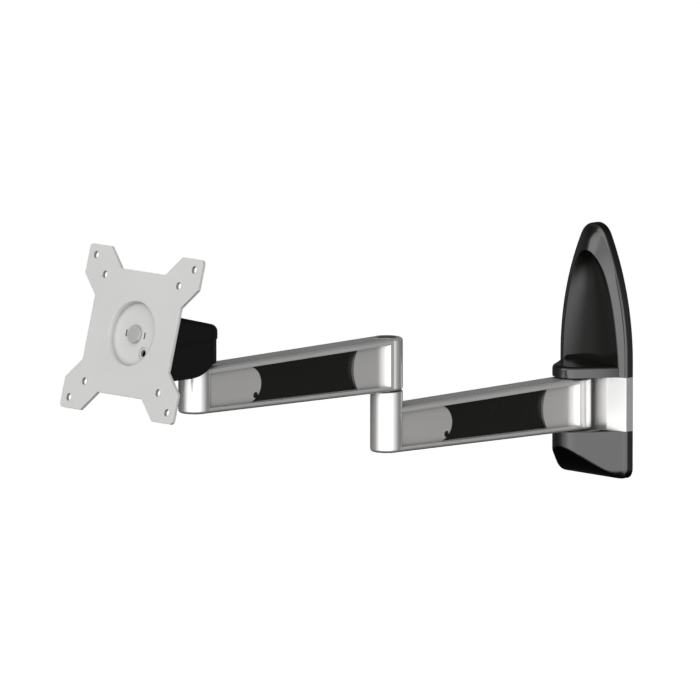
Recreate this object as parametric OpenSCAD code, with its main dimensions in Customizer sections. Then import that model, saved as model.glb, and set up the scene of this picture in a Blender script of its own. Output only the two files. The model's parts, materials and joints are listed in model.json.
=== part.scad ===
// Full motion wall mount for a small screen: two folding arms, a tilting head
// and a screen plate. +Z is up, +Y points into the wall, +X is to the right
// when facing the wall. The origin is on the wall, level with the wall pivot.

/* [Reach] */
// Distance between the pivots at the two ends of an arm
arm_pitch = 181; // [145:1:225]
// Distance from the wall to the wall pivot
pivot_out = 23.4; // [22.6:0.2:30]

/* [Arms] */
// Height of an arm at its root
root_h = 37; // [32:1:46]
// Radius of the root and of the barrel
barrel_r = 11.4; // [11:0.1:13.5]
// Height that the barrel stands above the top of the root
barrel_rise = 8.5; // [6:0.5:14]
// How much the beam narrows above and below, from root to barrel
taper = 2.7; // [1:0.1:4]
// Height of the flange along the top and bottom of the beam
flange_h = 3.8; // [3:0.1:5]
// Depth of the side recess
recess_d = 3; // [2:0.1:3.4]
// Wall of the hollow beam beside the cable covers
tongue_t = 2.4; // [1.6:0.1:2.8]
// Rounding of the long edges
arm_edge_r = 2.2; // [1:0.1:2.4]
// Thickness of a cable cover
cable_cover_t = 1.6; // [1.2:0.1:1.8]

/* [Wall covers] */
// Half the width of the covers
cover_half_w = 34; // [32:1:40]
// Radius of the curved flanks of the upper cover
flank_r = 190; // [170:5:220]
// Height of the top of the upper cover above the wall pivot
cover_top = 125.5; // [120:0.5:135]
// Radius of the rounded top
cover_top_r = 13.5; // [11:0.5:15]
// Depth of the rim against the wall
rim_d = 6.5; // [6:0.5:8]
// Wall of the covers
cover_t = 1.6; // [1.4:0.1:1.8]
// Depth of the lower cover below the centre cover
lower_cover_h = 33.8; // [32:0.5:42]

/* [Wall plate] */
// Thickness of the wall plate
wall_plate_t = 4; // [3.5:0.1:4.2]
// Thickness of the two lugs
lug_t = 3.6; // [3:0.1:3.6]
// Distance between the wall screws, sideways
screw_span_x = 30; // [26:1:34]
// Distance between the wall screws, up and down
screw_span_z = 86; // [80:1:90]
// Radius of a wall screw hole
screw_r = 3.25; // [2.5:0.25:3.5]

/* [Pivots] */
// Radius of the pivot bolts
bolt_r = 4; // [3.5:0.1:4.2]
// Radial clearance of a running fit
run_gap = 0.05; // [0.02:0.01:0.08]
// Thickness of the friction washers at the elbow and the head
washer_t = 0.5; // [0.4:0.1:0.5]
// Gap between the root of the lower arm and each lug
root_gap = 0.7; // [0.6:0.05:1]

/* [Head] */
// Room between the barrel and the inside of the hood
hood_room = 1.9; // [1.6:0.1:3]
// Wall of the hood
hood_t = 1.8; // [1.4:0.1:2]
// How far the cap of the hood stands out over the skirt
hood_step = 0.7; // [0.3:0.1:1]
// Distance from the head pivot to the tilt axis
tilt_out = 17; // [16:0.5:20]
// Distance from the tilt axis to the front of the screen plate
plate_out = 43.6; // [42:0.2:50]
// Upward tilt of the screen plate as stored, in degrees
tilt_up = 15; // [5:1:15]

/* [Screen plate] */
// Size of the square plate
plate_w = 115; // [110:1:130]
// Thickness of the plate
plate_t = 2.5; // [2:0.1:3]
// Wide and narrow screen hole spacings
vesa_wide = 100; // [100]
vesa_narrow = 75; // [75]
// Radius of the screen holes
vesa_hole_r = 2.5; // [2.2:0.1:2.8]
// Radius of the dish at its mouth
dish_r = 23; // [22:0.5:26]
// Depth of the dish
dish_d = 4; // [3:0.5:4]
// Slope of the dish's wall, from its mouth to its floor
dish_slope = 1.2; // [0.6:0.1:3.5]

/* [Hidden] */
$fn = 64;
nudge = 0.01;
stick = 1;              // how far a cutter runs past what it cuts
slip = 0.1;             // clearance between parts that don't turn

// Arm heights, each from the bottom of its own root
barrel_bottom = taper;
barrel_top = root_h + barrel_rise;

beam_step = 0.4;        // how far the barrel stands out past the beam's side
beam_half = barrel_r - beam_step;
recess_floor = beam_half - recess_d;
cavity_half = recess_floor - tongue_t;
cavity_start = barrel_r + 2.6;
cavity_end = arm_pitch - barrel_r - 3.6;
root_tongue = barrel_r + 27.2;      // end of the bright tongue next to the root
root_tongue_r = 28.2;
barrel_tongue = barrel_r + 43.7;    // end of the tongue next to the barrel, from the barrel
tongue_lap = 8;         // how far a cable cover runs in behind the tongues
window_step = 0.3;      // how far the window's edge stands in from the recess's
notch_r = 2.2;
notch_in = 5.2;
notch_drop = 8;
flare_start = barrel_r + 4.6;
flare_r = 18.2;

// Heights of the stacked arms
lower_z = -root_h / 2;
upper_z = lower_z + barrel_top + washer_t;
head_z = upper_z + barrel_top + washer_t;
elbow_out = pivot_out + arm_pitch;
head_out = elbow_out + arm_pitch;

// Bolts, nuts, bushes and plugs of the arms
bush_r = bolt_r + 2;
bush_l = 10;
head_pocket_r = bolt_r + 3;
head_pocket_d = 6;
nut_pocket_r = bolt_r + 4;
nut_af = 2 * bolt_r + 5;      // across the flats
nut_h = 2 * bolt_r;
plug_t = 1.5;
plug_gap = 0.8;
nut_washer_t = 1.6;
cap_t = 1;
spring_t = 1;
cap_gap = 0.4;
bolt_head_h = head_pocket_d - spring_t - cap_t - cap_gap;
nut_pocket_d = plug_t + plug_gap + nut_h + nut_washer_t;
head_bolt_head_h = 5.3;
head_nut_h = 5.6;

// Wall parts
centre_half_h = root_h / 2 + root_gap;
flank_mid = flank_r - cover_half_w;
flank_z = cover_top - cover_top_r - sqrt(pow(flank_r - cover_top_r, 2) - pow(flank_mid, 2));
roof_slope = 0.65;
lip_r = barrel_r + 4.8;
lug_r = barrel_r + 1.8;
pin_head_h = 2.4;
pin_head_gap = 0.4;
pin_head_r = bolt_r + 3;
lip_h = lug_t + pin_head_h + pin_head_gap + cover_t;
lip_edge_r = 3;
niche_gap = 0.3;        // between the wall plate and the back of the niche
niche_floor = wall_plate_t + niche_gap + cover_t;
lug_outer = centre_half_h + lug_t;
lower_bottom = -centre_half_h - lower_cover_h;
screw_mid = 6;          // height of the middle of the wall screws
roof_depth = 10.4;      // depth of the roof of the upper cover above its rim
nose_straight = 10;     // height of the upright part of the lower cover
lower_corner_r = 7.6;
centre_front = rim_d + 5;
centre_front_half = cover_half_w - 14.5;
centre_hollow_r = barrel_r + 1.8;

// Head
tilt_rise = 6.5;
tilt_y = head_out + tilt_out;
tilt_z = head_z + tilt_rise;
knuckle_h = 10;
knuckle_foot_t = 4;
knuckle_foot_r = bolt_r + 6.4;
boss_r = 8;
boss_half = nut_af / 2;
tilt_gap = 0.6;
ear_t = 2.5;
ear_in = boss_half + tilt_gap;
ear_out = ear_in + ear_t;
tilt_bolt_r = 3;
tilt_head_h = 2.6;
tilt_head_gap = 0.5;
hood_inner = max(barrel_r + hood_room, ear_out + tilt_gap + tilt_head_h + tilt_head_gap);
hood_r = hood_inner + hood_t;
hood_front = head_out + 47;
hood_split = tilt_z + 2;
hood_hem = head_z - 16.5;
hood_top = head_z + 27.5;
hood_top_at = head_out + 28;
hood_top_slope = 14;
hood_corner_r = 4.5;
hem_curve_r = 30;
hem_curve_at = head_out + 17;
hem_rise = 8.2;
flange_r = hood_inner - 0.8;
flange_t = 2.5;
dish_sheet = 2.5;
plate_washer_t = 0.7;
plate_spring_t = 1.2;
plate_nut_h = 5.5;
flange_out = plate_out - dish_d - dish_sheet - plate_washer_t;
rivet_r = bolt_r + 2;
rivet_h = 1.8;

module ring(r_out, r_in, h) {
    difference() {
        cylinder(h = h, r = r_out);
        translate([0, 0, -stick]) cylinder(h = h + 2 * stick, r = r_in);
    }
}

module hex(af, h) {
    cylinder(h = h, r = af / 2 / cos(30), $fn = 6);
}

// Height of the beam's bottom and top edges, at a distance from the root
function beam_low(t) = taper * t / arm_pitch;
function beam_high(t) = root_h - taper * t / arm_pitch;

// Stands an outline drawn as (distance outwards, height) upright, across the part
module from_side(half) {
    rotate([90, 0, 0]) rotate([0, -90, 0]) translate([0, 0, -half])
        linear_extrude(height = 2 * half) children();
}

module beam_outline(inset, start, end) {
    polygon([
        [start, beam_low(start) + inset], [end, beam_low(end) + inset],
        [end, beam_high(end) - inset], [start, beam_high(start) - inset]
    ]);
}

// A round-edged upright drum between two heights
module drum(r, low, high, low_edge, high_edge) {
    rotate_extrude() difference() {
        translate([0, low]) square([r, high - low]);
        edge_cut(r, low, low_edge, 1);
        edge_cut(r, high, high_edge, -1);
    }
}

module edge_cut(r, z, edge, side) {
    if (edge > 0) difference() {
        translate([r - edge, side > 0 ? z - nudge : z - edge])
            square([edge + nudge, edge + nudge]);
        translate([r - edge, z + side * edge]) circle(r = edge);
    }
}

// A long cutter that rounds one edge of the beam
module long_edge_cut(side_x, side_z) {
    slope = atan(taper / arm_pitch);
    translate([side_x * (beam_half - arm_edge_r), 0,
               side_z > 0 ? root_h - arm_edge_r : arm_edge_r])
        rotate([side_z * slope, 0, 0]) rotate([90, 0, 0])
        translate([0, 0, -arm_pitch / 4]) linear_extrude(height = 1.5 * arm_pitch)
        difference() {
            translate([side_x > 0 ? 0 : -arm_edge_r - stick, side_z > 0 ? 0 : -arm_edge_r - stick])
                square([arm_edge_r + stick, arm_edge_r + stick]);
            circle(r = arm_edge_r);
        }
}

module side_recess(side) {
    intersection() {
        mirror([side > 0 ? 0 : 1, 0, 0]) rotate([0, 0, -90])
            linear_extrude(height = barrel_top) difference() {
                union() {
                    translate([flare_start, recess_floor]) square([arm_pitch - flare_start, 8]);
                    intersection() {
                        translate([flare_start, recess_floor + flare_r]) circle(r = flare_r, $fn = 96);
                        translate([0, recess_floor]) square([flare_start + nudge, 8]);
                    }
                }
                translate([arm_pitch, 0]) circle(r = barrel_r);
            }
        from_side(barrel_r + stick) beam_outline(flange_h, 1, arm_pitch - 1);
    }
}

// The opening between the two bright tongues of the beam
module window_outline() {
    mid = root_h / 2;
    end_mid = arm_pitch - barrel_tongue;
    inset = flange_h + window_step;
    end_r = (beam_high(end_mid) - beam_low(end_mid)) / 2 - inset + 0.1;
    root_mid = root_tongue - root_tongue_r;
    difference() {
        beam_outline(inset, root_mid, end_mid + end_r);
        translate([root_mid, mid]) circle(r = root_tongue_r, $fn = 96);
        translate([end_mid + end_r, mid]) circle(r = end_r);
    }
    // notch for a fingertip, to lift the cable cover
    translate([end_mid + notch_in, mid - notch_drop]) circle(r = notch_r, $fn = 32);
}

module arm_casting() {
    difference() {
        union() {
            difference() {
                from_side(beam_half) beam_outline(0, 0, arm_pitch);
                for (x = [-1, 1], z = [-1, 1]) long_edge_cut(x, z);
            }
            drum(barrel_r, 0, root_h, arm_edge_r, arm_edge_r);
            translate([0, -arm_pitch, 0])
                drum(barrel_r, barrel_bottom, barrel_top, arm_edge_r, 0.6);
        }
        for (side = [-1, 1]) side_recess(side);
        from_side(cavity_half) beam_outline(flange_h, cavity_start, cavity_end);
        from_side(barrel_r + stick) window_outline();
        translate([0, 0, -stick]) cylinder(h = root_h + 2 * stick, r = bush_r);
        translate([0, 0, root_h - head_pocket_d])
            cylinder(h = head_pocket_d + stick, r = head_pocket_r);
        translate([0, -arm_pitch, 0]) {
            cylinder(h = barrel_top + stick, r = bush_r);
            cylinder(h = barrel_bottom + nut_pocket_d, r = nut_pocket_r);
        }
    }
}

// A black cover that slides in behind the tongues; it closes one side of the window
module cable_cover(side) {
    cover_in = cavity_half - slip / 2 - cable_cover_t;
    clip_t = 1.2;
    translate([side * (cover_in + cable_cover_t / 2), 0, 0])
        from_side(cable_cover_t / 2)
        beam_outline(flange_h + slip, root_tongue - 5 - tongue_lap,
                     arm_pitch - barrel_tongue + 12 + tongue_lap);
    for (end = [root_tongue + 4, arm_pitch - barrel_tongue - 4])
        translate([side * (cover_in - clip_t / 2), -end, root_h / 2])
            cube([clip_t + nudge, 6, 12], center = true);
}

module root_bushes() {
    ring(bush_r, bolt_r + run_gap, bush_l);
    translate([0, 0, root_h - head_pocket_d - bush_l]) ring(bush_r, bolt_r + run_gap, bush_l);
}

module barrel_bushes() {
    translate([0, -arm_pitch, barrel_bottom + nut_pocket_d])
        ring(bush_r, bolt_r + run_gap, bush_l);
    translate([0, -arm_pitch, barrel_top - bush_l]) ring(bush_r, bolt_r + run_gap, bush_l);
}

module barrel_plug() {
    translate([0, -arm_pitch, barrel_bottom]) {
        cylinder(h = plug_t, r = nut_pocket_r - slip / 2);
        translate([0, 0, plug_t - nudge]) ring(nut_pocket_r - slip / 2, nut_pocket_r - 0.4, 1);
    }
}

module at_lower_arm() translate([0, -pivot_out, lower_z]) children();
module at_upper_arm() translate([0, -elbow_out, upper_z]) children();
module at_head() translate([0, -head_out, head_z]) children();
module at_wall_pivot() translate([0, -pivot_out, 0]) children();

// Front outline of the wall covers, from a bottom height up to the rounded top
module cover_outline(inset, bottom) {
    top_mid = cover_top - cover_top_r;
    hull() {
        intersection() {
            translate([-flank_mid, flank_z]) circle(r = flank_r - inset, $fn = 180);
            translate([flank_mid, flank_z]) circle(r = flank_r - inset, $fn = 180);
            translate([-cover_half_w, flank_z])
                square([2 * cover_half_w, top_mid + cover_top_r / 2 - flank_z]);
        }
        translate([0, top_mid]) circle(r = max(cover_top_r - inset, 1), $fn = 32);
        translate([inset - cover_half_w, bottom]) square([2 * (cover_half_w - inset), 1]);
    }
}

// Stands a front outline up against the wall, between two depths
module against_wall(from, depth) {
    translate([0, -from, 0]) rotate([90, 0, 0]) linear_extrude(height = depth) children();
}

// Solid shape of the upper cover; an inset one runs past its open back and bottom
module upper_body(inset) {
    past = inset > 0 ? stick : 0;
    hull() {
        against_wall(-past, rim_d - inset + past) cover_outline(inset, centre_half_h - past);
        against_wall(rim_d - inset, roof_depth)
            cover_outline(inset + roof_depth / roof_slope, centre_half_h - past);
    }
}

// The hollow in the front of the upper cover, where the head goes when the arms fold
module niche(grow) {
    heights = [centre_half_h + lip_h, cover_top - 58, cover_top - 35.5];
    radii = [79.6, 53.3, 20.1];
    floors = [niche_floor, niche_floor + 0.3, niche_floor + 0.9];
    hull() {
        for (i = [0 : 2])
            translate([0, -floors[i] - radii[i], heights[i] - grow])
                cylinder(h = 1 + grow, r = radii[i] + grow, $fn = 72);
        translate([0, -pivot_out - 6, cover_top - 24]) sphere(r = 12 + grow, $fn = 24);
    }
}

// The lip: round about the wall pivot and straight back to the wall
module lip(r, bottom, top, edge, back) {
    hull() {
        at_wall_pivot() translate([0, 0, bottom]) cylinder(h = top - bottom - edge, r = r, $fn = 72);
        for (turn = [20, 50, 75])
            at_wall_pivot() translate([0, 0, bottom])
                cylinder(h = top - bottom - edge * (1 - sin(turn)), r = r - edge * (1 - cos(turn)), $fn = 72);
        translate([-r, -pivot_out, bottom]) cube([2 * r, pivot_out - back, top - bottom - edge]);
        translate([edge - r, -pivot_out, bottom]) cube([2 * (r - edge), pivot_out - back, top - bottom]);
    }
}

module wall_plate() {
    top = cover_top - 20;
    top_half = 12;
    half = cover_half_w - cover_t - 2;
    foot = -centre_half_h - 22;
    shoulder = centre_half_h + 30;
    sink_d = 2.4;
    color([0.62, 0.63, 0.65]) difference() {
        union() {
            against_wall(0, wall_plate_t) polygon([
                [-half, foot], [half, foot], [half, shoulder],
                [top_half, top], [-top_half, top], [-half, shoulder]
            ]);
            for (z = [centre_half_h, -lug_outer]) {
                at_wall_pivot() translate([0, 0, z]) cylinder(h = lug_t, r = lug_r);
                translate([-lug_r, -pivot_out, z]) cube([2 * lug_r, pivot_out - wall_plate_t / 2, lug_t]);
            }
        }
        at_wall_pivot() translate([0, 0, -lug_outer - stick])
            cylinder(h = 2 * (lug_outer + stick), r = bolt_r + run_gap);
        for (x = [-1, 1], z = [-1, 1])
            translate([x * screw_span_x / 2, stick, screw_mid + z * screw_span_z / 2])
                rotate([90, 0, 0]) {
                    cylinder(h = wall_plate_t + 2 * stick, r = screw_r);
                    translate([0, 0, stick + wall_plate_t - sink_d])
                        cylinder(h = sink_d + nudge, r1 = screw_r, r2 = screw_r + sink_d);
                }
    }
}

module upper_cover() {
    lip_top = centre_half_h + lip_h;
    color([0.06, 0.06, 0.06]) difference() {
        union() {
            difference() {
                upper_body(0);
                niche(0);
            }
            lip(lip_r, centre_half_h, lip_top, lip_edge_r, wall_plate_t - 1);
        }
        difference() {
            upper_body(cover_t);
            niche(cover_t);
        }
        lip(lip_r - cover_t, centre_half_h - 2 * stick, lip_top - cover_t - 0.2,
            lip_edge_r - cover_t, wall_plate_t - 2);
    }
}

module lower_body(inset) {
    bend = -centre_half_h - nose_straight;
    chin_r = lip_r - 2.2;
    foot_r = lip_r - 4.2;
    hull() {
        at_wall_pivot() translate([0, 0, bend])
            cylinder(h = nose_straight, r = lip_r - inset, $fn = 48);
        translate([inset - cover_half_w, inset - rim_d, bend])
            cube([2 * (cover_half_w - inset), rim_d - inset + nudge, nose_straight]);
        translate([0, -chin_r, bend - 9]) cylinder(h = 1, r = chin_r - inset, $fn = 48);
        translate([inset - cover_half_w + 1, inset - rim_d, bend - 10])
            cube([2 * (cover_half_w - inset - 1), rim_d - inset + nudge, 1]);
        translate([0, -foot_r / 2, lower_bottom + 6 + inset]) cylinder(h = 1, r = foot_r - inset, $fn = 32);
        against_wall(0, rim_d - inset) for (x = [-1, 1])
            translate([x * (cover_half_w - lower_corner_r - 0.4), lower_bottom + lower_corner_r])
                circle(r = lower_corner_r - inset, $fn = 32);
    }
}

module lower_cover() {
    color([0.06, 0.06, 0.06]) difference() {
        intersection() {
            lower_body(0);
            translate([-cover_half_w, -2 * cover_half_w, lower_bottom])
                cube([2 * cover_half_w, 2 * cover_half_w, lower_cover_h]);
        }
        translate([0, nudge, 0]) lower_body(cover_t);
        translate([0, 0, -centre_half_h - 2 * stick]) intersection() {
            translate([-cover_half_w, -2 * cover_half_w, 0])
                cube([2 * cover_half_w, 2 * cover_half_w, 3 * stick]);
            translate([0, 0, centre_half_h + 5]) lower_body(cover_t);
        }
    }
}

module centre_cover() {
    half_h = centre_half_h - slip;
    shell = 1.6;
    hollow_y = -wall_plate_t - 0.5;
    color([0.85, 0.85, 0.86]) translate([0, 0, -half_h]) difference() {
        linear_extrude(height = 2 * half_h) difference() {
            polygon([
                [cover_half_w, 0], [cover_half_w, -rim_d], [centre_front_half, -centre_front],
                [-centre_front_half, -centre_front], [-cover_half_w, -rim_d], [-cover_half_w, 0]
            ]);
            translate([0, -pivot_out]) circle(r = centre_hollow_r, $fn = 96);
        }
        translate([0, 0, -stick]) linear_extrude(height = 2 * (half_h + stick)) polygon([
            [cover_half_w - shell, stick], [cover_half_w - shell, hollow_y],
            [-cover_half_w + shell, hollow_y], [-cover_half_w + shell, stick]
        ]);
        for (side = [-1, 1]) translate([side * (centre_front_half - 3), 0, -stick])
            linear_extrude(height = 2 * (half_h + stick))
            polygon([[-6, hollow_y + stick], [6, hollow_y + stick], [4, shell - centre_front], [-6, shell - centre_front]]
                * [[side, 0], [0, 1]]);
    }
}

module wall_pivot_pin() {
    color([0.55, 0.56, 0.58]) at_wall_pivot() {
        translate([0, 0, lug_outer]) cylinder(h = pin_head_h, r = pin_head_r);
        translate([0, 0, -lug_outer - nut_washer_t - nut_h - 1])
            cylinder(h = 2 * lug_outer + nut_washer_t + nut_h + 1 + nudge, r = bolt_r);
    }
}

module wall_pivot_nut() {
    color([0.7, 0.7, 0.68]) at_wall_pivot() translate([0, 0, -lug_outer - nut_washer_t - nut_h])
        difference() {
            hex(nut_af, nut_h);
            translate([0, 0, -stick]) cylinder(h = nut_h + 2 * stick, r = bolt_r);
        }
}

module wall_pivot_washer() {
    color([0.7, 0.7, 0.68]) at_wall_pivot() translate([0, 0, -lug_outer - nut_washer_t])
        ring(2 * bolt_r, bolt_r + run_gap, nut_washer_t);
}

module wall_friction_washers() {
    color([0.2, 0.2, 0.2]) at_wall_pivot() for (z = [root_h / 2 + slip, -centre_half_h])
        translate([0, 0, z]) ring(barrel_r - 0.8, bolt_r + run_gap, root_gap - slip);
}

module lower_arm() {
    color([0.8, 0.8, 0.8]) at_lower_arm() arm_casting();
}

module lower_arm_cable_cover_left() {
    color([0.08, 0.08, 0.08]) at_lower_arm() cable_cover(-1);
}

module lower_arm_cable_cover_right() {
    color([0.08, 0.08, 0.08]) at_lower_arm() cable_cover(1);
}

module lower_arm_root_bushes() {
    color([0.9, 0.9, 0.86]) at_lower_arm() root_bushes();
}

module lower_arm_barrel_bushes() {
    color([0.9, 0.9, 0.86]) at_lower_arm() barrel_bushes();
}

// Bolt from the nut pocket under the barrel up to the pocket in the upper arm's root
module elbow_bolt() {
    low = lower_z + barrel_bottom + plug_t + plug_gap;
    high = upper_z + root_h - head_pocket_d + spring_t;
    color([0.55, 0.56, 0.58]) translate([0, -elbow_out, 0]) {
        translate([0, 0, low]) cylinder(h = high - low + nudge, r = bolt_r);
        translate([0, 0, high]) cylinder(h = bolt_head_h, r = head_pocket_r - 0.6);
    }
}

module elbow_nut() {
    color([0.7, 0.7, 0.68])
        translate([0, -elbow_out, lower_z + barrel_bottom + plug_t + plug_gap]) difference() {
            hex(nut_af, nut_h);
            translate([0, 0, -stick]) cylinder(h = nut_h + 2 * stick, r = bolt_r);
        }
}

module elbow_nut_washer() {
    color([0.7, 0.7, 0.68])
        translate([0, -elbow_out, lower_z + barrel_bottom + nut_pocket_d - nut_washer_t])
        ring(nut_pocket_r - 0.4, bolt_r + run_gap, nut_washer_t);
}

module elbow_disc_spring() {
    color([0.6, 0.6, 0.6])
        translate([0, -elbow_out, upper_z + root_h - head_pocket_d + slip])
        ring(head_pocket_r - 0.5, bolt_r + run_gap, spring_t - slip);
}

module elbow_friction_washer() {
    color([0.15, 0.15, 0.15]) translate([0, -elbow_out, upper_z - washer_t])
        ring(barrel_r - 1, bolt_r + run_gap, washer_t - slip);
}

module elbow_bottom_plug() {
    color([0.12, 0.12, 0.12]) at_lower_arm() barrel_plug();
}

module upper_arm() {
    color([0.8, 0.8, 0.8]) at_upper_arm() arm_casting();
}

module upper_arm_cable_cover_left() {
    color([0.08, 0.08, 0.08]) at_upper_arm() cable_cover(-1);
}

module upper_arm_cable_cover_right() {
    color([0.08, 0.08, 0.08]) at_upper_arm() cable_cover(1);
}

module upper_arm_root_bushes() {
    color([0.9, 0.9, 0.86]) at_upper_arm() root_bushes();
}

module upper_arm_barrel_bushes() {
    color([0.9, 0.9, 0.86]) at_upper_arm() barrel_bushes();
}

module elbow_cap() {
    color([0.85, 0.85, 0.85]) translate([0, -elbow_out, upper_z + root_h - cap_t + slip])
        cylinder(h = cap_t, r = head_pocket_r - slip / 2);
}

module head_bottom_plug() {
    color([0.12, 0.12, 0.12]) at_upper_arm() barrel_plug();
}

// Bolt from the pocket under the upper barrel up through the knuckle
module head_bolt() {
    low = upper_z + barrel_bottom + nut_pocket_d - nut_washer_t;
    high = head_z + knuckle_h + head_nut_h + 1.1;
    color([0.55, 0.56, 0.58]) translate([0, -head_out, 0]) {
        translate([0, 0, low - head_bolt_head_h]) hex(nut_af, head_bolt_head_h);
        translate([0, 0, low - nudge]) cylinder(h = high - low, r = bolt_r);
    }
}

module head_bolt_washer() {
    color([0.7, 0.7, 0.68])
        translate([0, -head_out, upper_z + barrel_bottom + nut_pocket_d - nut_washer_t])
        ring(nut_pocket_r - 0.4, bolt_r + run_gap, nut_washer_t - slip);
}

module head_friction_washer() {
    color([0.15, 0.15, 0.15]) at_head() translate([0, 0, slip - washer_t])
        ring(barrel_r - 1, bolt_r + run_gap, washer_t - slip);
}

module swivel_knuckle() {
    color([0.3, 0.3, 0.32]) at_head() difference() {
        union() {
            cylinder(h = knuckle_foot_t, r = knuckle_foot_r);
            translate([-boss_half, -tilt_out, 0])
                cube([2 * boss_half, tilt_out + barrel_r - 3, knuckle_h]);
            translate([-boss_half, -tilt_out, tilt_z - head_z]) rotate([0, 90, 0])
                cylinder(h = 2 * boss_half, r = boss_r);
        }
        translate([0, 0, -stick]) cylinder(h = knuckle_h + 2 * stick, r = bolt_r);
        translate([-barrel_r, -tilt_out, tilt_z - head_z]) rotate([0, 90, 0])
            cylinder(h = 2 * barrel_r, r = tilt_bolt_r);
    }
}

module head_nut() {
    color([0.7, 0.7, 0.68]) at_head() translate([0, 0, knuckle_h]) difference() {
        hex(nut_af, head_nut_h);
        translate([0, 0, -stick]) cylinder(h = nut_h, r = bolt_r);
    }
}

// Plan of the hood: round at the back, straight towards the screen plate
module hood_plan(r) {
    translate([0, -head_out]) circle(r = r, $fn = 96);
    translate([-r, -hood_front]) square([2 * r, hood_front - head_out]);
}

function hood_top_z(y) = hood_top + (y - hood_top_at) * tan(hood_top_slope);

module cap_side(inset, r) {
    back = head_out - r;
    c = hood_corner_r;
    corner_z = hood_top_z(back + c) - c / cos(hood_top_slope);
    drop = inset / cos(hood_top_slope);
    difference() {
        polygon([
            [back, hood_split - (inset > 0 ? stick : 0)],
            [hood_front + stick, hood_split - (inset > 0 ? stick : 0)],
            [hood_front + stick, hood_top_z(hood_front + stick) - drop],
            [back, hood_top_z(back) - drop]
        ]);
        difference() {
            translate([back - stick, corner_z]) square([c + stick - c * sin(hood_top_slope), 2 * c]);
            translate([back + c, corner_z]) circle(r = c);
        }
    }
}

module hood_cap() {
    r = hood_r + hood_step;
    color([0.07, 0.07, 0.07]) difference() {
        intersection() {
            translate([0, 0, hood_split]) linear_extrude(height = 60) hood_plan(r);
            from_side(r + stick) cap_side(0, r);
        }
        intersection() {
            translate([0, 0, hood_split - stick]) linear_extrude(height = 60) union() {
                hood_plan(r - hood_t);
                translate([hood_t - r, -hood_front - stick]) square([2 * (r - hood_t), 10]);
            }
            from_side(r + stick) cap_side(hood_t, r - hood_t);
        }
    }
}

module hood_skirt() {
    color([0.07, 0.07, 0.07]) difference() {
        translate([0, 0, hood_hem]) linear_extrude(height = hood_split - hood_hem) difference() {
            hood_plan(hood_r);
            hood_plan(hood_r - hood_t);
            translate([hood_t - hood_r, -hood_front - stick]) square([2 * (hood_r - hood_t), 10]);
        }
        // the hem rises towards the arm so that the head can turn above it
        from_side(hood_r + stick) difference() {
            translate([head_out - hood_r - stick, hood_hem - stick])
                square([hem_curve_at - head_out + hood_r + stick, stick + hem_rise]);
            translate([hem_curve_at, hood_hem + hem_curve_r]) circle(r = hem_curve_r, $fn = 128);
            translate([hem_curve_at - hem_curve_r, hood_hem + hem_rise]) square([hem_curve_r, hem_curve_r]);
        }
    }
}

module at_tilt() translate([0, -tilt_y, tilt_z]) children();

module tilt_bolt() {
    head_x = ear_out + tilt_gap;
    color([0.55, 0.56, 0.58]) at_tilt() rotate([0, 90, 0]) {
        translate([0, 0, -head_x - tilt_head_h])
            cylinder(h = 2 * head_x + 2 * tilt_head_h, r = tilt_bolt_r);
        translate([0, 0, head_x]) cylinder(h = tilt_head_h, r = tilt_bolt_r + 2.5);
    }
}

module tilt_nut() {
    color([0.7, 0.7, 0.68]) at_tilt() rotate([0, -90, 0])
        translate([0, 0, ear_out + tilt_gap]) difference() {
            hex(2 * tilt_bolt_r + 4, tilt_head_h - slip);
            translate([0, 0, -stick]) cylinder(h = tilt_head_h + 2 * stick, r = tilt_bolt_r);
        }
}

module tilt_washers() {
    color([0.7, 0.7, 0.68]) at_tilt() for (a = [90, -90]) rotate([0, a, 0])
        translate([0, 0, ear_out + slip]) ring(tilt_bolt_r + 3.5, tilt_bolt_r + run_gap, tilt_gap - slip);
}

module tilt_friction_washers() {
    color([0.15, 0.15, 0.15]) at_tilt() for (a = [90, -90]) rotate([0, a, 0])
        translate([0, 0, boss_half]) ring(boss_r - 0.5, tilt_bolt_r + run_gap, tilt_gap - slip);
}

// Puts +Z along the normal of the screen plate, with +Y up the plate
module at_plate() {
    at_tilt() rotate([90 - tilt_up, 0, 0]) children();
}

module tilt_bracket() {
    color([0.25, 0.25, 0.27]) at_plate() difference() {
        union() {
            for (side = [-1, 1]) translate([side * (ear_in + ear_t / 2) - ear_t / 2, 0, 0])
                rotate([0, 90, 0]) {
                    cylinder(h = ear_t, r = boss_r);
                    linear_extrude(height = ear_t) polygon([
                        [0, -boss_r], [0, boss_r], [-flange_out + flange_t / 2, flange_r - 4],
                        [-flange_out + flange_t / 2, 4 - flange_r]
                    ]);
                }
            translate([0, 0, flange_out - flange_t]) cylinder(h = flange_t, r = flange_r);
        }
        translate([-hood_r, 0, 0]) rotate([0, 90, 0])
            cylinder(h = 2 * hood_r, r = tilt_bolt_r + run_gap);
        translate([0, 0, flange_out - 2 * flange_t]) cylinder(h = 3 * flange_t, r = bolt_r);
    }
}

module plate_friction_washer() {
    color([0.15, 0.15, 0.15]) at_plate() translate([0, 0, flange_out])
        ring(flange_r - 0.5, bolt_r + run_gap, plate_washer_t - slip);
}

module plate_pivot_bolt() {
    floor_z = plate_out - dish_d;
    low = flange_out - flange_t - plate_spring_t - plate_nut_h - 0.8;
    color([0.75, 0.75, 0.76]) at_plate() {
        translate([0, 0, low]) cylinder(h = floor_z - low + slip + nudge, r = bolt_r);
        translate([0, 0, floor_z + slip]) cylinder(h = rivet_h, r = rivet_r);
    }
}

module plate_disc_spring() {
    color([0.6, 0.6, 0.6]) at_plate() translate([0, 0, flange_out - flange_t - plate_spring_t])
        ring(bolt_r + 2.6, bolt_r + run_gap, plate_spring_t);
}

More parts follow.
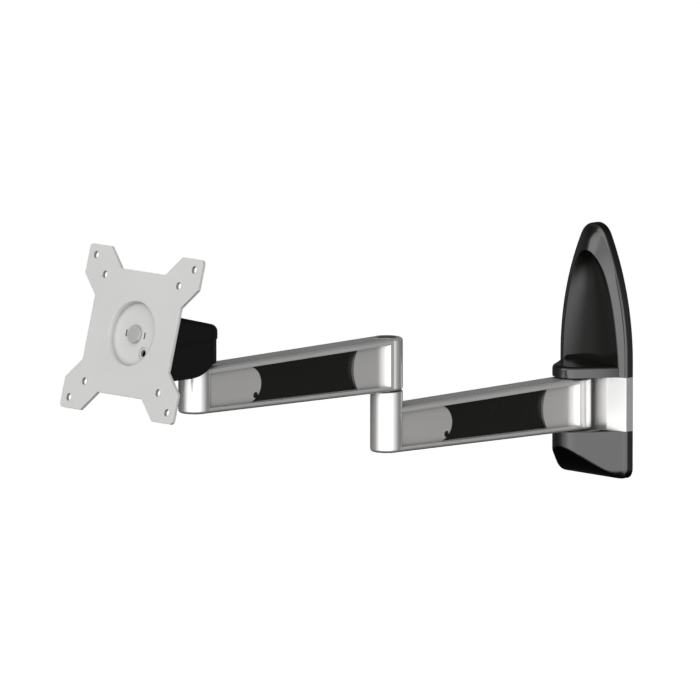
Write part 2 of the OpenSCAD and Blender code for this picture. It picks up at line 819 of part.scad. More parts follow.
module plate_pivot_nut() {
    color([0.7, 0.7, 0.68]) at_plate()
        translate([0, 0, flange_out - flange_t - plate_spring_t - plate_nut_h]) difference() {
            rotate([0, 0, 30]) hex(nut_af, plate_nut_h);
            translate([0, 0, -stick]) cylinder(h = nut_h, r = bolt_r);
        }
}

// Outline of the screen plate with a notch in the middle of each side
module plate_outline() {
    half = plate_w / 2;
    mouth = half - 21;
    throat = 22.5;
    deep = mouth - throat;
    corner = 3;
    difference() {
        union() {
            square([plate_w - 2 * corner, plate_w], center = true);
            square([plate_w, plate_w - 2 * corner], center = true);
            for (x = [-1, 1], y = [-1, 1])
                translate([x * (half - corner), y * (half - corner)]) circle(r = corner);
        }
        for (a = [0 : 90 : 270]) rotate([0, 0, a]) polygon([
            [-mouth - stick, half + stick], [-throat, half - deep],
            [throat, half - deep], [mouth + stick, half + stick]
        ]);
        for (s = [vesa_wide, vesa_narrow], x = [-1, 1], y = [-1, 1])
            translate([x * s / 2, y * s / 2]) circle(r = vesa_hole_r);
        circle(r = dish_r);
    }
}

module vesa_plate() {
    floor_r = dish_r - dish_slope;
    keyhole = [10.7, -12.1];
    keyhole_r = 2.5;
    color([0.82, 0.82, 0.81]) at_plate() {
        difference() {
            union() {
                translate([0, 0, plate_out - plate_t]) linear_extrude(height = plate_t) plate_outline();
                translate([0, 0, plate_out]) rotate_extrude() polygon([
                    [0, -dish_d - dish_sheet], [floor_r - 1, -dish_d - dish_sheet],
                    [dish_r + 2, -plate_t], [dish_r + 2, -plate_t + 0.4],
                    [dish_r + nudge, 0], [dish_r - 0.3, 0], [floor_r, -dish_d], [0, -dish_d]
                ]);
            }
            translate([0, 0, plate_out - dish_d - dish_sheet - stick])
                cylinder(h = dish_sheet + 2 * stick, r = bolt_r + run_gap);
            translate([keyhole[0], keyhole[1], plate_out - dish_d - dish_sheet - stick])
                cylinder(h = dish_sheet + 2 * stick, r = keyhole_r);
            translate([keyhole[0], keyhole[1], plate_out - dish_d - 0.5])
                cylinder(h = 0.5 + stick, r = keyhole_r + 1.6);
            for (side = [0, 180]) rotate([0, 0, side])
                translate([0, 0, plate_out - dish_d - dish_sheet - stick])
                linear_extrude(height = dish_sheet + 2 * stick) intersection() {
                    difference() { circle(r = 9.9); circle(r = 8.7); }
                    polygon([[0, 0], [12, 3], [12, -3]]);
                }
        }
    }
}

wall_plate();
upper_cover();
lower_cover();
centre_cover();
wall_pivot_pin();
wall_pivot_nut();
wall_pivot_washer();
wall_friction_washers();
lower_arm();
lower_arm_cable_cover_left();
lower_arm_cable_cover_right();
lower_arm_root_bushes();
lower_arm_barrel_bushes();
elbow_bolt();
elbow_nut();
elbow_nut_washer();
elbow_disc_spring();
elbow_friction_washer();
elbow_bottom_plug();
upper_arm();
upper_arm_cable_cover_left();
upper_arm_cable_cover_right();
upper_arm_root_bushes();
upper_arm_barrel_bushes();
elbow_cap();
head_bottom_plug();
head_bolt();
head_bolt_washer();
head_friction_washer();
swivel_knuckle();
head_nut();
hood_cap();
hood_skirt();
tilt_bolt();
tilt_nut();
tilt_washers();
tilt_friction_washers();
tilt_bracket();
plate_friction_washer();
plate_pivot_bolt();
plate_disc_spring();
plate_pivot_nut();
vesa_plate();
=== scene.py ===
import json
import math

import bmesh
import bpy
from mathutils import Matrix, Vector


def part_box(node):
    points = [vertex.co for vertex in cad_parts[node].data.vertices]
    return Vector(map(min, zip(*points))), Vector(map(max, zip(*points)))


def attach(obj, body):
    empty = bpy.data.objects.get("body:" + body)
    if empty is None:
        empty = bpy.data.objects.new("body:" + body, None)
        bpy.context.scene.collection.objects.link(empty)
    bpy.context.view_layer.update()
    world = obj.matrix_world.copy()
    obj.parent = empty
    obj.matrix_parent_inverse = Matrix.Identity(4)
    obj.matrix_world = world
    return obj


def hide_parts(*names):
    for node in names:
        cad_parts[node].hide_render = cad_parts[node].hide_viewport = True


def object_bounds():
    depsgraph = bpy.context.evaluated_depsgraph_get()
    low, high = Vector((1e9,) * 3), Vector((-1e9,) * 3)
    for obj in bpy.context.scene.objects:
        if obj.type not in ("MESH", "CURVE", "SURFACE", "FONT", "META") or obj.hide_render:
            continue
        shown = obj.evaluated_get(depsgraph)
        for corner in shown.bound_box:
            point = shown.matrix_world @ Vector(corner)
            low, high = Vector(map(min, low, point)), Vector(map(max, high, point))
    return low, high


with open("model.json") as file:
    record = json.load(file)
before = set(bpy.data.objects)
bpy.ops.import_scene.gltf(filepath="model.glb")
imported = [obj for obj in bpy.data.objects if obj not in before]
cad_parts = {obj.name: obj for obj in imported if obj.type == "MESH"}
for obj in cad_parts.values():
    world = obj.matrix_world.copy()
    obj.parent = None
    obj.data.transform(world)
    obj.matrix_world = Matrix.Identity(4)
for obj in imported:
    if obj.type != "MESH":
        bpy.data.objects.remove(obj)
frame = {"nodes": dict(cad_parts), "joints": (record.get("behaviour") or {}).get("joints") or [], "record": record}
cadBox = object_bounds()
mm = 0.001

pivots = {joint["name"]: Vector(joint["pos_m"]) for joint in frame["joints"]}
pivotOut = -pivots["wall_swivel"].y  # how far the wall pivot stands out from the wall
print("frame loaded:", len(frame["nodes"]), "nodes")


def pieceFrom(name, verts, faces):
    mesh = bpy.data.meshes.new(name)
    mesh.from_pydata([tuple(v) for v in verts], [], faces)
    mesh.validate()
    mesh.update()
    piece = bpy.data.objects.new(name, mesh)
    bpy.context.scene.collection.objects.link(piece)
    return piece


def gridFaces(rows, cols, closed=False):
    # quads between neighbouring rows of points
    faces = []
    last = cols if closed else cols - 1
    for r in range(rows - 1):
        for c in range(last):
            a = r * cols + c
            b = r * cols + (c + 1) % cols
            faces.append((a, b, b + cols, a + cols))
    return faces


def applyModifiers(piece):
    bpy.context.view_layer.update()
    depsgraph = bpy.context.evaluated_depsgraph_get()
    done = bpy.data.meshes.new_from_object(piece.evaluated_get(depsgraph))
    piece.modifiers.clear()
    piece.data = done
    return piece


def smoothShade(piece, angle):
    # soft shading, with edges sharper than the angle kept crisp
    mesh = piece.data
    mesh.polygons.foreach_set("use_smooth", [True] * len(mesh.polygons))
    mesh.set_sharp_from_angle(angle=math.radians(angle))
    return piece


def outwardFaces(piece, inside=None):
    # faces made to agree, and turned away from the inside point where one is given
    bm = bmesh.new()
    bm.from_mesh(piece.data)
    bmesh.ops.remove_doubles(bm, verts=bm.verts, dist=0.02 * mm)
    bmesh.ops.recalc_face_normals(bm, faces=bm.faces)
    if inside is not None:
        middle = Vector(inside)
        outwards = sum(f.normal.dot(f.calc_center_median() - middle) * f.calc_area() for f in bm.faces)
        if outwards < 0:
            bmesh.ops.reverse_faces(bm, faces=bm.faces)
    bm.to_mesh(piece.data)
    bm.free()
    return piece


def shellInward(piece, wall):
    shell = piece.modifiers.new("wall", "SOLIDIFY")
    shell.thickness = wall
    shell.offset = -1
    return applyModifiers(piece)


def joinPieces(piece, others):
    bpy.ops.object.select_all(action="DESELECT")
    for extra in others:
        extra.select_set(True)
    piece.select_set(True)
    bpy.context.view_layer.objects.active = piece
    bpy.ops.object.join()
    return piece


# shared by all finishes: the part of the noise that is used, how corners are softened, and how the painted shade
# in corners is sampled and how dark it gets
finishSetup = dict(noiseLow=0.3, noiseHigh=0.7, patchDetail=4, grainDetail=6, edgeSamples=4,
                   creaseSamples=8, creaseShut=0.25, creaseOpen=0.9, creaseDarkest=0.3)

# the arm and plate finishes also give how far the painted shade in their corners reaches
looks = {
    "cast_plate": dict(colour=(0.5, 0.51, 0.52), metal=1, rough=0.38, grainScale=900, bump=0.15, edge=0.0003),
    "cover_black": dict(colour=(0.005, 0.005, 0.004), rough=0.16, ior=1.75, grainScale=260, bump=0.02,
                        patchScale=9),
    "cover_chrome": dict(colour=(0.86, 0.86, 0.85), metal=0.85, rough=0.3, grainScale=160, bump=0.003,
                         edge=0.0004, darker=0.98, lighter=1.02, glossSpread=(0.94, 1.06)),
    "arm_aluminium": dict(colour=(0.8, 0.79, 0.78), metal=0.66, rough=0.22, grainScale=600, bump=0.008,
                          stretch=(1, 0.2, 1), darker=0.97, lighter=1.03, cornerShadeReach=0.007),
    "cable_cover_black": dict(colour=(0.006, 0.006, 0.005), rough=0.3, specular=0.3, grainScale=500,
                              bump=0.05),
    "bolt_steel": dict(colour=(0.55, 0.55, 0.55), metal=1, rough=0.3, grainScale=1200, bump=0.1, edge=0.0002),
    "bush_nylon": dict(colour=(0.8, 0.79, 0.74), rough=0.5, grainScale=900, bump=0.1),
    "washer_black": dict(colour=(0.03, 0.03, 0.03), rough=0.5, grainScale=900, bump=0.1),
    "plug_black": dict(colour=(0.03, 0.03, 0.03), rough=0.45, grainScale=1100, bump=0.2, edge=0.0003),
    "cap_aluminium": dict(colour=(0.72, 0.72, 0.71), metal=1, rough=0.3, grainScale=1400, bump=0.08,
                          edge=0.0002),
    "hood_black": dict(colour=(0.006, 0.006, 0.006), rough=0.42, specular=0.16, grainScale=1600, bump=0.1,
                       edge=0.0004),
    "knuckle_black": dict(colour=(0.04, 0.04, 0.04), rough=0.5, grainScale=1300, bump=0.3, edge=0.0004),
    "plate_silver": dict(colour=(0.7, 0.7, 0.69), metal=0.25, rough=0.48, grainScale=2200, bump=0.12,
                         edge=0.0007, darker=0.975, lighter=1.025, cornerShadeReach=0.006),
    "rivet_steel": dict(colour=(0.66, 0.66, 0.65), metal=0.6, rough=0.4, grainScale=1800, bump=0.12,
                        edge=0.0003),
}


def newMaterial(name, look):
    mat = bpy.data.materials.new(name)
    mat.use_nodes = True
    nodes = mat.node_tree.nodes
    shader = nodes["Principled BSDF"]
    shader.inputs["Base Color"].default_value = (*look["colour"], 1)
    shader.inputs["Metallic"].default_value = look.get("metal", 0)
    shader.inputs["Roughness"].default_value = look["rough"]
    shader.inputs["Specular IOR Level"].default_value = look.get("specular", 0.5)
    shader.inputs["IOR"].default_value = look.get("ior", 1.5)
    return mat, nodes, mat.node_tree.links, shader


def noiseNode(nodes, links, scale, detail, stretch=(1, 1, 1)):
    coords = nodes.new("ShaderNodeTexCoord")
    mapping = nodes.new("ShaderNodeMapping")
    mapping.inputs["Scale"].default_value = stretch
    noise = nodes.new("ShaderNodeTexNoise")
    noise.inputs["Scale"].default_value = scale
    noise.inputs["Detail"].default_value = detail
    links.new(coords.outputs["Object"], mapping.inputs["Vector"])
    links.new(mapping.outputs["Vector"], noise.inputs["Vector"])
    return noise


def varyRoughness(nodes, links, shader, noise, low, high):
    ramp = nodes.new("ShaderNodeMapRange")
    ramp.inputs["From Min"].default_value = finishSetup["noiseLow"]
    ramp.inputs["From Max"].default_value = finishSetup["noiseHigh"]
    ramp.inputs["To Min"].default_value = low
    ramp.inputs["To Max"].default_value = high
    links.new(noise.outputs["Fac"], ramp.inputs["Value"])
    links.new(ramp.outputs["Result"], shader.inputs["Roughness"])


def varyColour(nodes, links, shader, noise, dark, light):
    ramp = nodes.new("ShaderNodeValToRGB")
    ends = ramp.color_ramp.elements
    ends[0].position = finishSetup["noiseLow"]
    ends[0].color = (*dark, 1)
    ends[1].position = finishSetup["noiseHigh"]
    ends[1].color = (*light, 1)
    links.new(noise.outputs["Fac"], ramp.inputs["Fac"])
    links.new(ramp.outputs["Color"], shader.inputs["Base Color"])


def addBump(nodes, links, shader, noise, strength, edge):
    bump = nodes.new("ShaderNodeBump")
    bump.inputs["Strength"].default_value = strength
    bump.inputs["Distance"].default_value = 0.04 * mm
    links.new(noise.outputs["Fac"], bump.inputs["Height"])
    if edge > 0:
        rounded = nodes.new("ShaderNodeBevel")
        rounded.samples = finishSetup["edgeSamples"]
        rounded.inputs["Radius"].default_value = edge
        links.new(rounded.outputs["Normal"], bump.inputs["Normal"])
    links.new(bump.outputs["Normal"], shader.inputs["Normal"])


def paintCornerShade(nodes, links, shader, reach):
    # painted shade: the base colour is darkened in the corners and recesses, as shade falls there on a polished
    # casting
    colour = shader.inputs["Base Color"].links[0].from_socket
    shade = nodes.new("ShaderNodeAmbientOcclusion")
    shade.samples = finishSetup["creaseSamples"]
    shade.inputs["Distance"].default_value = reach
    depth = nodes.new("ShaderNodeMapRange")
    depth.inputs["From Min"].default_value = finishSetup["creaseShut"]
    depth.inputs["From Max"].default_value = finishSetup["creaseOpen"]
    depth.inputs["To Min"].default_value = finishSetup["creaseDarkest"]
    links.new(shade.outputs["AO"], depth.inputs["Value"])
    mix = nodes.new("ShaderNodeMix")
    mix.data_type = "RGBA"
    mix.blend_type = "MULTIPLY"
    mix.inputs["Factor"].default_value = 1
    links.new(colour, mix.inputs["A"])
    links.new(depth.outputs["Result"], mix.inputs["B"])
    links.new(mix.outputs["Result"], shader.inputs["Base Color"])


def pieceFinish(name, look):
    # one recipe for every finish: cast or moulded grain, slow colour and gloss change, and painted shade in
    # corners where a reach for it is given
    mat, nodes, links, shader = newMaterial(name, look)
    stretch = look.get("stretch", (1, 1, 1))
    slow = noiseNode(nodes, links, look.get("patchScale", 18), finishSetup["patchDetail"])
    grain = noiseNode(nodes, links, look["grainScale"], finishSetup["grainDetail"], stretch)
    dark = [c * look.get("darker", 0.93) for c in look["colour"]]
    light = [min(1, c * look.get("lighter", 1.05)) for c in look["colour"]]
    varyColour(nodes, links, shader, slow, dark, light)
    smooth, dull = look.get("glossSpread", (0.85, 1.2))
    varyRoughness(nodes, links, shader, grain, look["rough"] * smooth, look["rough"] * dull)
    addBump(nodes, links, shader, grain, look["bump"], look.get("edge", 0))
    # painted shade: corners and recesses darkened in the base colour
    if "cornerShadeReach" in look:
        paintCornerShade(nodes, links, shader, look["cornerShadeReach"])
    return mat


finishes = {slot: pieceFinish(slot + "_finish", look) for slot, look in looks.items()}
nodeSlots = {part["node"]: part["material_slot"] for part in frame["record"]["subparts"]}
for nodeName, cadObject in frame["nodes"].items():
    for place in range(len(cadObject.material_slots)):
        cadObject.material_slots[place].material = finishes[nodeSlots[nodeName]]
print("materials made:", len(finishes))


def settle(piece, slot, body, *nodes):
    piece.data.materials.clear()
    piece.data.materials.append(finishes[slot])
    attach(piece, body)
    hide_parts(*nodes)
    return piece


def softLower(x, y, soft):
    # the lower of two heights, rounded over where they meet
    mix = max(0, min(1, 0.5 + (y - x) / (2 * soft)))
    return y + (x - y) * mix - soft * mix * (1 - mix)


wallCover = dict(
    halfWide=34 * mm, flank=190 * mm, topRound=13.5 * mm,  # the pointed outline
    rim=6.5 * mm, rimRound=1.5 * mm, roofSlope=0.65, wall=1.4 * mm,
    ridgeRound=6 * mm, ridgeFade=25 * mm, ridgeKeep=0.35,  # the ridge above the niche
    nicheHalf=28.6 * mm, nicheCurve=1.85, nicheTopBelow=18 * mm, nicheFloor=5.8 * mm, nicheTip=0.3 * mm,
    spineShare=0.8, crestRound=0.8 * mm, scoopLong=30 * mm,
    topPart=30 * mm, lowSteps=44, topSteps=56,  # how finely it is divided
    rimSteps=6, roofSteps=22, nicheSteps=36, nicheSpread=1.5,
)
lipShape = dict(
    nose=16.2 * mm, high=8 * mm, edge=2.6 * mm, skirt=1.5 * mm,
    neck=9 * mm, neckFrom=15 * mm, neckTo=5 * mm, neckIn=5 * mm,
    back=1.5 * mm, foot=9.6 * mm, noseSteps=32, edgeSteps=8, shelfSteps=8, neckSteps=12,
)


def outlineArcs(top):
    # the height of the tip's centre, and how far across and how high the flank's centre is
    c = wallCover
    tipMid = top - c["topRound"]
    flankMid = c["flank"] - c["halfWide"]
    flankLow = tipMid - math.sqrt((c["flank"] - c["topRound"]) ** 2 - flankMid ** 2)
    return tipMid, flankMid, flankLow


def coverHalfWidth(z, top):
    c = wallCover
    tipMid, flankMid, flankLow = outlineArcs(top)
    lean = math.atan2(tipMid - flankLow, flankMid)
    if z <= flankLow:
        return c["halfWide"]
    if z <= tipMid + c["topRound"] * math.sin(lean):
        return math.sqrt(c["flank"] ** 2 - (z - flankLow) ** 2) - flankMid
    return math.sqrt(max(c["topRound"] ** 2 - (z - tipMid) ** 2, 0))


def insetFromOutline(x, z, top):
    # how far a point of the front lies inside the cover's outline
    c = wallCover
    tipMid, flankMid, flankLow = outlineArcs(top)
    if z <= flankLow:
        return c["halfWide"] - x
    lean = (tipMid - flankLow) / flankMid
    if z - tipMid > x * lean:
        return c["topRound"] - math.hypot(x, z - tipMid)
    return c["flank"] - math.hypot(x + flankMid, z - flankLow)


def nicheHalfWidth(z, low, nicheTop):
    c = wallCover
    t = max(0, (z - low) / (nicheTop - low))
    return c["nicheHalf"] * max(0, 1 - t ** c["nicheCurve"]) ** (1 / c["nicheCurve"])


def upperHeight(x, z, low, top):
    # depth of the cover's front from the wall: a sloping roof with the niche scooped out of it
    c = wallCover
    nicheTop = top - c["nicheTopBelow"]
    ridge = c["ridgeRound"] * max(0, min(1, (z - nicheTop + c["ridgeFade"]) / c["ridgeFade"]))
    across = math.hypot(x, ridge) - ridge * c["ridgeKeep"]
    roof = c["rim"] + c["roofSlope"] * max(0, insetFromOutline(across, z, top) - c["rimRound"])
    half = nicheHalfWidth(z, low, nicheTop)
    if half < c["nicheTip"]:
        return roof
    crest = c["rim"] + c["roofSlope"] * max(0, insetFromOutline(half, z, top) - c["rimRound"])
    side = (x / half) ** 2
    scoop = max(0, 1 - (nicheTop - z) / c["scoopLong"]) ** 2
    fill = 1 - (1 - side) * (1 - scoop) if side < 1 else side
    return softLower(roof, c["nicheFloor"] + (crest - c["nicheFloor"]) * fill, c["crestRound"])


def coverColumn(z, low, top):
    # points from the wall round the rim, up the roof and across the niche to its spine
    c = wallCover
    nicheTop = top - c["nicheTopBelow"]
    w = coverHalfWidth(z, top)
    t = (z - low) / (top - low)
    edgeZ = low + (nicheTop - low) * t
    edge = (nicheHalfWidth(edgeZ, low, nicheTop), edgeZ)
    spineZ = low + (nicheTop - low) * t * c["spineShare"]
    away = math.hypot(w - edge[0], z - edge[1])
    inward = ((edge[0] - w) / away, (edge[1] - z) / away)
    points = [(w, z, 0), (w, z, c["rim"] * 0.5)]
    for i in range(c["rimSteps"] + 1):
        turn = math.pi / 2 * i / c["rimSteps"]
        inset = c["rimRound"] * (1 - math.cos(turn))
        depth = c["rim"] - c["rimRound"] * (1 - math.sin(turn))
        points.append((w + inward[0] * inset, z + inward[1] * inset, depth))
    for i in range(1, c["roofSteps"] + 1):
        inset = c["rimRound"] + (away - c["rimRound"]) * math.sin(math.pi / 2 * i / c["roofSteps"])
        x, y = w + inward[0] * inset, z + inward[1] * inset
        points.append((x, y, upperHeight(x, y, low, top)))
    for i in range(1, c["nicheSteps"] + 1):
        v = (i / c["nicheSteps"]) ** c["nicheSpread"]
        x, y = edge[0] * (1 - v), edge[1] + (spineZ - edge[1]) * v
        points.append((x, y, upperHeight(x, y, low, top)))
    return points


def makeUpperCover():
    # one column for each height, from the bottom corner to the tip, then mirrored
    c = wallCover
    lo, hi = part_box("upper_cover")
    low, top = lo[2], hi[2]
    turnFrom = top - c["topPart"]
    heights = [low + (turnFrom - low) * i / c["lowSteps"] for i in range(c["lowSteps"])]
    for i in range(c["topSteps"] + 1):
        heights.append(turnFrom + c["topPart"] * math.sin(math.pi / 2 * i / c["topSteps"]))
    columns = [coverColumn(z, low, top) for z in heights]
    full = columns + [[(-x, z, a) for x, z, a in col] for col in reversed(columns[:-1])]
    verts = [(x, -a, z) for col in full for x, z, a in col]
    cover = pieceFrom("upperCoverShell", verts, gridFaces(len(full), len(full[0])))
    outwardFaces(cover, (0, 50 * mm, (low + top) / 2))
    shellInward(cover, c["wall"])
    return joinPieces(cover, [makeLip("upperCoverLip", low)])


def lipPlan(nose, wide, foot):
    # seen from above: round about the wall pivot, then straight back to the sides of the niche
    s = lipShape
    start = math.acos(nose / math.hypot(wide, pivotOut - foot)) - math.atan2(pivotOut - foot, wide)
    sweep = math.pi - 2 * start
    points = [(wide, s["back"]), (wide, foot)]
    for i in range(s["noseSteps"] + 1):
        turn = start + sweep * i / s["noseSteps"]
        points.append((nose * math.cos(turn), pivotOut + nose * math.sin(turn)))
    return points + [(-wide, foot), (-wide, s["back"])]


def makeLip(name, low):
    # rings going up: the upright side, the rounded edge, the flat shelf, then the neck into the niche
    s = lipShape
    out = pivotOut + s["nose"]
    shelf = low + s["high"]
    rings = [(0, low, out), (0, low + s["skirt"], out)]
    for i in range(s["edgeSteps"] + 1):
        turn = math.pi / 2 * i / s["edgeSteps"]
        rings.append((s["edge"] * (1 - math.cos(turn)), shelf - s["edge"] * (1 - math.sin(turn)), out))
    for i in range(1, s["shelfSteps"] + 1):
        rings.append((s["edge"], shelf, out - (out - s["neckFrom"]) * i / s["shelfSteps"]))
    for i in range(1, s["neckSteps"] + 1):
        turn = math.pi / 2 * i / s["neckSteps"]
        inset = s["edge"] + s["neckIn"] * (1 - math.cos(turn))
        reach = s["neckFrom"] - (s["neckFrom"] - s["neckTo"]) * math.sin(turn)
        rings.append((inset, shelf + s["neck"] * (1 - math.cos(turn)), reach))
    verts = []
    for inset, z, reach in rings:
        plan = lipPlan(s["nose"] - inset, wallCover["nicheHalf"] - inset, s["foot"])
        verts += [(x, -min(a, reach), z) for x, a in plan]
    cols = len(plan)
    faces = gridFaces(len(rings), cols, closed=True)
    faces.append(tuple(reversed(range(cols))))
    faces.append(tuple(range((len(rings) - 1) * cols, len(rings) * cols)))
    return outwardFaces(pieceFrom(name, verts, faces))


upperCover = smoothShade(makeUpperCover(), 38)
settle(upperCover, "cover_black", "wall_bracket", "upper_cover")
print("upper cover made")


lowerCover = dict(
    noseRound=16.2 * mm, rim=6.5 * mm, rimRound=1.5 * mm, straight=10 * mm, wall=1.4 * mm,
    cornerRound=7.6 * mm, cornerShare=0.8, edgeSoft=2.2 * mm,
    bottomOut=8.5 * mm, bottomRound=2.5 * mm,  # how far the foot stands out, and its rounding
    cutAhead=1.5 * mm, cutStraight=0.86, keepNearWall=3 * mm,  # the slope that rounds it in to the wall
    rimSteps=5, sideSteps=14, noseSteps=20, straightSteps=4, slopeSteps=34, bottomSteps=6,
)


def lowerPlan(nose, rim, halfWide):
    # half of the outline seen from above, from the wall round the rim to the tip of the nose
    c = lowerCover
    points = [(halfWide, 0), (halfWide, rim * 0.5)]
    for i in range(c["rimSteps"] + 1):
        turn = math.pi / 2 * i / c["rimSteps"]
        inset = c["rimRound"] * (1 - math.cos(turn))
        points.append((halfWide - inset, rim - c["rimRound"] * (1 - math.sin(turn))))
    foot = points[-1]
    reach = math.hypot(foot[0], pivotOut - foot[1])
    start = math.acos(nose / reach) - math.atan2(pivotOut - foot[1], foot[0])
    join = (nose * math.cos(start), pivotOut + nose * math.sin(start))
    for i in range(1, c["sideSteps"]):
        share = i / c["sideSteps"]
        points.append((foot[0] + (join[0] - foot[0]) * share, foot[1] + (join[1] - foot[1]) * share))
    for i in range(c["noseSteps"] + 1):
        turn = start + (math.pi / 2 - start) * i / c["noseSteps"]
        points.append((nose * math.cos(turn), pivotOut + nose * math.sin(turn)))
    return points


def lowerLevels(low, top):
    c = lowerCover
    bend = top - c["straight"]
    slopeEnd = low + c["bottomRound"]
    levels = [top - c["straight"] * i / c["straightSteps"] for i in range(c["straightSteps"])]
    levels += [bend - (bend - slopeEnd) * i / c["slopeSteps"] for i in range(c["slopeSteps"] + 1)]
    for i in range(1, c["bottomSteps"] + 1):
        levels.append(low + c["bottomRound"] * (1 - math.sin(math.pi / 2 * i / c["bottomSteps"])))
    return levels


def makeLowerCover():
    # the same outline at every level, cut back by a slope that meets the wall at the foot
    c = lowerCover
    lo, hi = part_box("lower_cover")
    low, top = lo[2], hi[2]
    bend = top - c["straight"]
    cutStart = pivotOut + c["noseRound"] + c["cutAhead"]
    levels = lowerLevels(low, top)
    plan = lowerPlan(c["noseRound"], c["rim"], hi[0])
    verts = []
    for z in levels:
        fall = max(0, (bend - z) / (bend - low))
        slope = c["cutStraight"] * fall + (1 - c["cutStraight"]) * fall ** 3
        under = max(0, 1 - (z - low) / c["bottomRound"])
        cut = cutStart - (cutStart - c["bottomOut"]) * slope
        cut -= c["bottomRound"] * (1 - math.sqrt(max(0, 1 - under * under)))
        drop = max(0, low + c["cornerRound"] - z)
        corner = c["cornerRound"] - math.sqrt(max(0, c["cornerRound"] ** 2 - drop ** 2))
        squeeze = (hi[0] - corner * c["cornerShare"]) / hi[0]
        half = []
        for x, a in plan:
            sloped = fall > 0 and a > c["keepNearWall"]
            half.append((x * squeeze, softLower(a, cut, c["edgeSoft"]) if sloped else a))
        verts += [(x, -a, z) for x, a in half + [(-x, a) for x, a in reversed(half[:-1])]]
    cols = len(plan) * 2 - 1
    faces = gridFaces(len(levels), cols)
    faces.append(tuple(range((len(levels) - 1) * cols, len(levels) * cols)))
    cover = outwardFaces(pieceFrom("lowerCoverShell", verts, faces), (0, 0, top))
    return shellInward(cover, c["wall"])


lowerPiece = smoothShade(makeLowerCover(), 50)
settle(lowerPiece, "cover_black", "wall_bracket", "lower_cover")
print("lower cover made")


hoodCap = dict(
    slope=14, edge=4.2 * mm, wall=1.6 * mm, band=2 * mm,
    topClose=0.999,  # how nearly the top's rings close on the middle line
    sideSteps=12, roundSteps=48, edgeSteps=9, topSteps=5,
)


def hoodPlan(front, mid):
    # round at the back and straight towards the screen plate
    h = hoodCap
    points = [(1, front + (mid - front) * i / h["sideSteps"], 0) for i in range(h["sideSteps"] + 1)]
    for i in range(1, h["roundSteps"] + 1):
        turn = math.pi * i / h["roundSteps"]
        points.append((math.cos(turn), mid, math.sin(turn)))
    for i in range(1, h["sideSteps"] + 1):
        points.append((-1, mid + (front - mid) * i / h["sideSteps"], 0))
    return points


def makeHoodCap():
    # upright sides, a soft edge all round, and a top that slopes down towards the back
    h = hoodCap
    lo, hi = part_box("hood_cap")
    radius = hi[0]
    mid = hi[1] - radius
    front = lo[1]
    rise = math.tan(math.radians(h["slope"]))
    plan = hoodPlan(front, mid)

    def ring(inset, level=None, fall=0):
        # at one level, or where none is given, that far below the sloping top
        r = radius - inset
        points = []
        for across, y, back in plan:
            y += back * r
            points.append((across * r, y, hi[2] + (front - y) * rise - fall if level is None else level))
        return points

    rings = [ring(0, level=lo[2]), ring(0, level=lo[2] + h["band"])]
    for i in range(h["edgeSteps"] + 1):
        turn = math.pi / 2 * i / h["edgeSteps"]
        rings.append(ring(h["edge"] * (1 - math.cos(turn)), fall=h["edge"] * (1 - math.sin(turn))))
    for i in range(1, h["topSteps"] + 1):
        rings.append(ring(h["edge"] + (radius - h["edge"]) * i / h["topSteps"] * h["topClose"]))
    verts = [v for points in rings for v in points]
    cap = pieceFrom("hoodCapShell", verts, gridFaces(len(rings), len(plan)))
    outwardFaces(cap, (0, mid, lo[2]))
    return shellInward(cap, h["wall"])


hoodPiece = smoothShade(makeHoodCap(), 50)
settle(hoodPiece, "hood_black", "head_swivel", "hood_cap")
print("hood cap made")


studio = dict(
    floorDrop=0.8, floorSize=80, floorGlow=0.75,
    lens=1200, azimuth=47.1, elevation=8.5, wide=0.4864, right=-0.1751, up=0.0342, seeTo=100,
)
# each stop is a place between the two ends, from -1 to 1, and how bright the world is there
studioWorld = dict(
    backToFront=((-1, 0.07), (-0.3, 0.1), (0.12, 0.26), (0.5, 1.15), (0.92, 2.3)),
    leftToRight=((-1, 1.1), (-0.6, 1.2), (0.1, 1), (1, 0.9)),
    lowToHigh=((-0.62, 0.03), (-0.25, 0.95), (0.12, 1), (0.5, 0.5), (1, 0.2)),
    background=1.02,
)
studioLamps = dict(
    topLamp=dict(place=(0.2, -0.3, 2.2), aim=(0, -0.2, 0), size=2.4, power=22, mirrored=False),
    keyLamp=dict(place=(-0.6, -2.6, 1.1), aim=(0, -0.2, 0.05), size=1.6, power=12, mirrored=True),
    backLamp=dict(place=(-1.3, 1.7, 1.1), aim=(0, -0.2, 0.05), size=1.8, power=16, mirrored=False),
)


def makeStage():
    s = studio["floorSize"] / 2
    floor = pieceFrom("studioFloor", [(-s, -s, 0), (s, -s, 0), (s, s, 0), (-s, s, 0)], [(0, 1, 2, 3)])
    floor.location.z = cadBox[0][2] - studio["floorDrop"]
    mat, nodes, links, shader = newMaterial("paleFloor", dict(colour=(0.95, 0.95, 0.95), rough=0.9))
    shader.inputs["Emission Color"].default_value = (1, 1, 1, 1)
    shader.inputs["Emission Strength"].default_value = studio["floorGlow"]
    floor.data.materials.append(mat)
    floor.visible_glossy = False  # it neither lights the mount nor shows in its shine
    floor.visible_diffuse = False


def makeLamp(name, place, aim, size, power, mirrored):
    light = bpy.data.lights.new(name, "AREA")
    light.shape = "SQUARE"
    light.size = size
    light.energy = power
    lamp = bpy.data.objects.new(name, light)
    bpy.context.scene.collection.objects.link(lamp)
    lamp.location = place
    lamp.rotation_euler = (Vector(aim) - Vector(place)).to_track_quat("-Z", "Y").to_euler()
    lamp.visible_glossy = mirrored


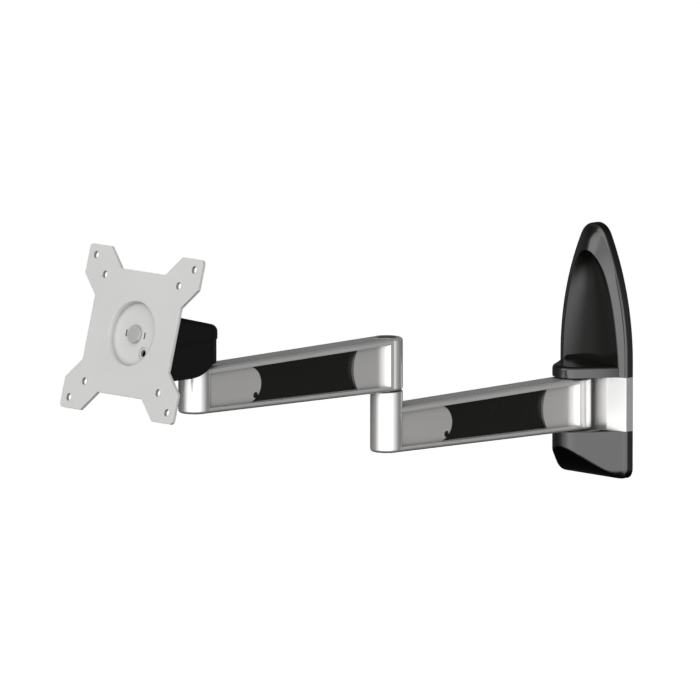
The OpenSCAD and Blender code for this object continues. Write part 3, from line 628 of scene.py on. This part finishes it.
def makeWorld():
    # bright round the camera, darker behind the mount and below it, plain white as a background
    w = studioWorld
    turn = math.radians(studio["azimuth"])
    world = bpy.data.worlds.new("studioWorld")
    bpy.context.scene.world = world
    world.use_nodes = True
    nodes, links = world.node_tree.nodes, world.node_tree.links
    coords = nodes.new("ShaderNodeTexCoord")

    def along(direction):
        dot = nodes.new("ShaderNodeVectorMath")
        dot.operation = "DOT_PRODUCT"
        dot.inputs[1].default_value = direction
        links.new(coords.outputs["Generated"], dot.inputs[0])
        return dot.outputs["Value"]

    def curveOf(value, stops):
        spread = nodes.new("ShaderNodeMapRange")
        spread.inputs["From Min"].default_value = -1
        links.new(value, spread.inputs["Value"])
        ramp = nodes.new("ShaderNodeValToRGB")
        ramp.color_ramp.interpolation = "EASE"
        while len(ramp.color_ramp.elements) < len(stops):
            ramp.color_ramp.elements.new(0.5)
        for element, (place, level) in zip(ramp.color_ramp.elements, stops):
            element.position = (place + 1) / 2
            element.color = (level, level, level, 1)
        links.new(spread.outputs["Result"], ramp.inputs["Fac"])
        return ramp.outputs["Color"]

    def times(first, second):
        node = nodes.new("ShaderNodeVectorMath")
        node.operation = "MULTIPLY"
        links.new(first, node.inputs[0])
        links.new(second, node.inputs[1])
        return node.outputs["Vector"]

    front = curveOf(along((math.sin(turn), -math.cos(turn), 0)), w["backToFront"])
    side = curveOf(along((math.cos(turn), math.sin(turn), 0)), w["leftToRight"])
    rise = curveOf(along((0, 0, 1)), w["lowToHigh"])
    path = nodes.new("ShaderNodeLightPath")
    mix = nodes.new("ShaderNodeMix")
    mix.data_type = "RGBA"
    mix.inputs["B"].default_value = (w["background"], w["background"], w["background"], 1)
    links.new(path.outputs["Is Camera Ray"], mix.inputs["Factor"])
    links.new(times(times(front, side), rise), mix.inputs["A"])
    links.new(mix.outputs["Result"], nodes["Background"].inputs["Color"])


def makeCamera():
    s = studio
    a, e = math.radians(s["azimuth"]), math.radians(s["elevation"])
    back = Vector((math.sin(a) * math.cos(e), -math.cos(a) * math.cos(e), math.sin(e)))
    right = Vector((math.cos(a), math.sin(a), 0))
    up = back.cross(right)
    data = bpy.data.cameras.new("studioCamera")
    data.lens = s["lens"]
    data.clip_end = s["seeTo"]
    camera = bpy.data.objects.new("studioCamera", data)
    bpy.context.scene.collection.objects.link(camera)
    far = s["wide"] / data.sensor_width * data.lens
    middle = (Vector(cadBox[0]) + Vector(cadBox[1])) / 2
    aim = right * s["right"] + up * s["up"]
    aim += back * (middle - aim).dot(back)
    camera.location = aim + back * far
    camera.rotation_euler = back.to_track_quat("Z", "Y").to_euler()
    bpy.context.scene.camera = camera


makeStage()
makeWorld()
for lampName, lampSetup in studioLamps.items():
    makeLamp(lampName, **lampSetup)
makeCamera()
bpy.context.scene.view_settings.view_transform = "Standard"
print("studio made")
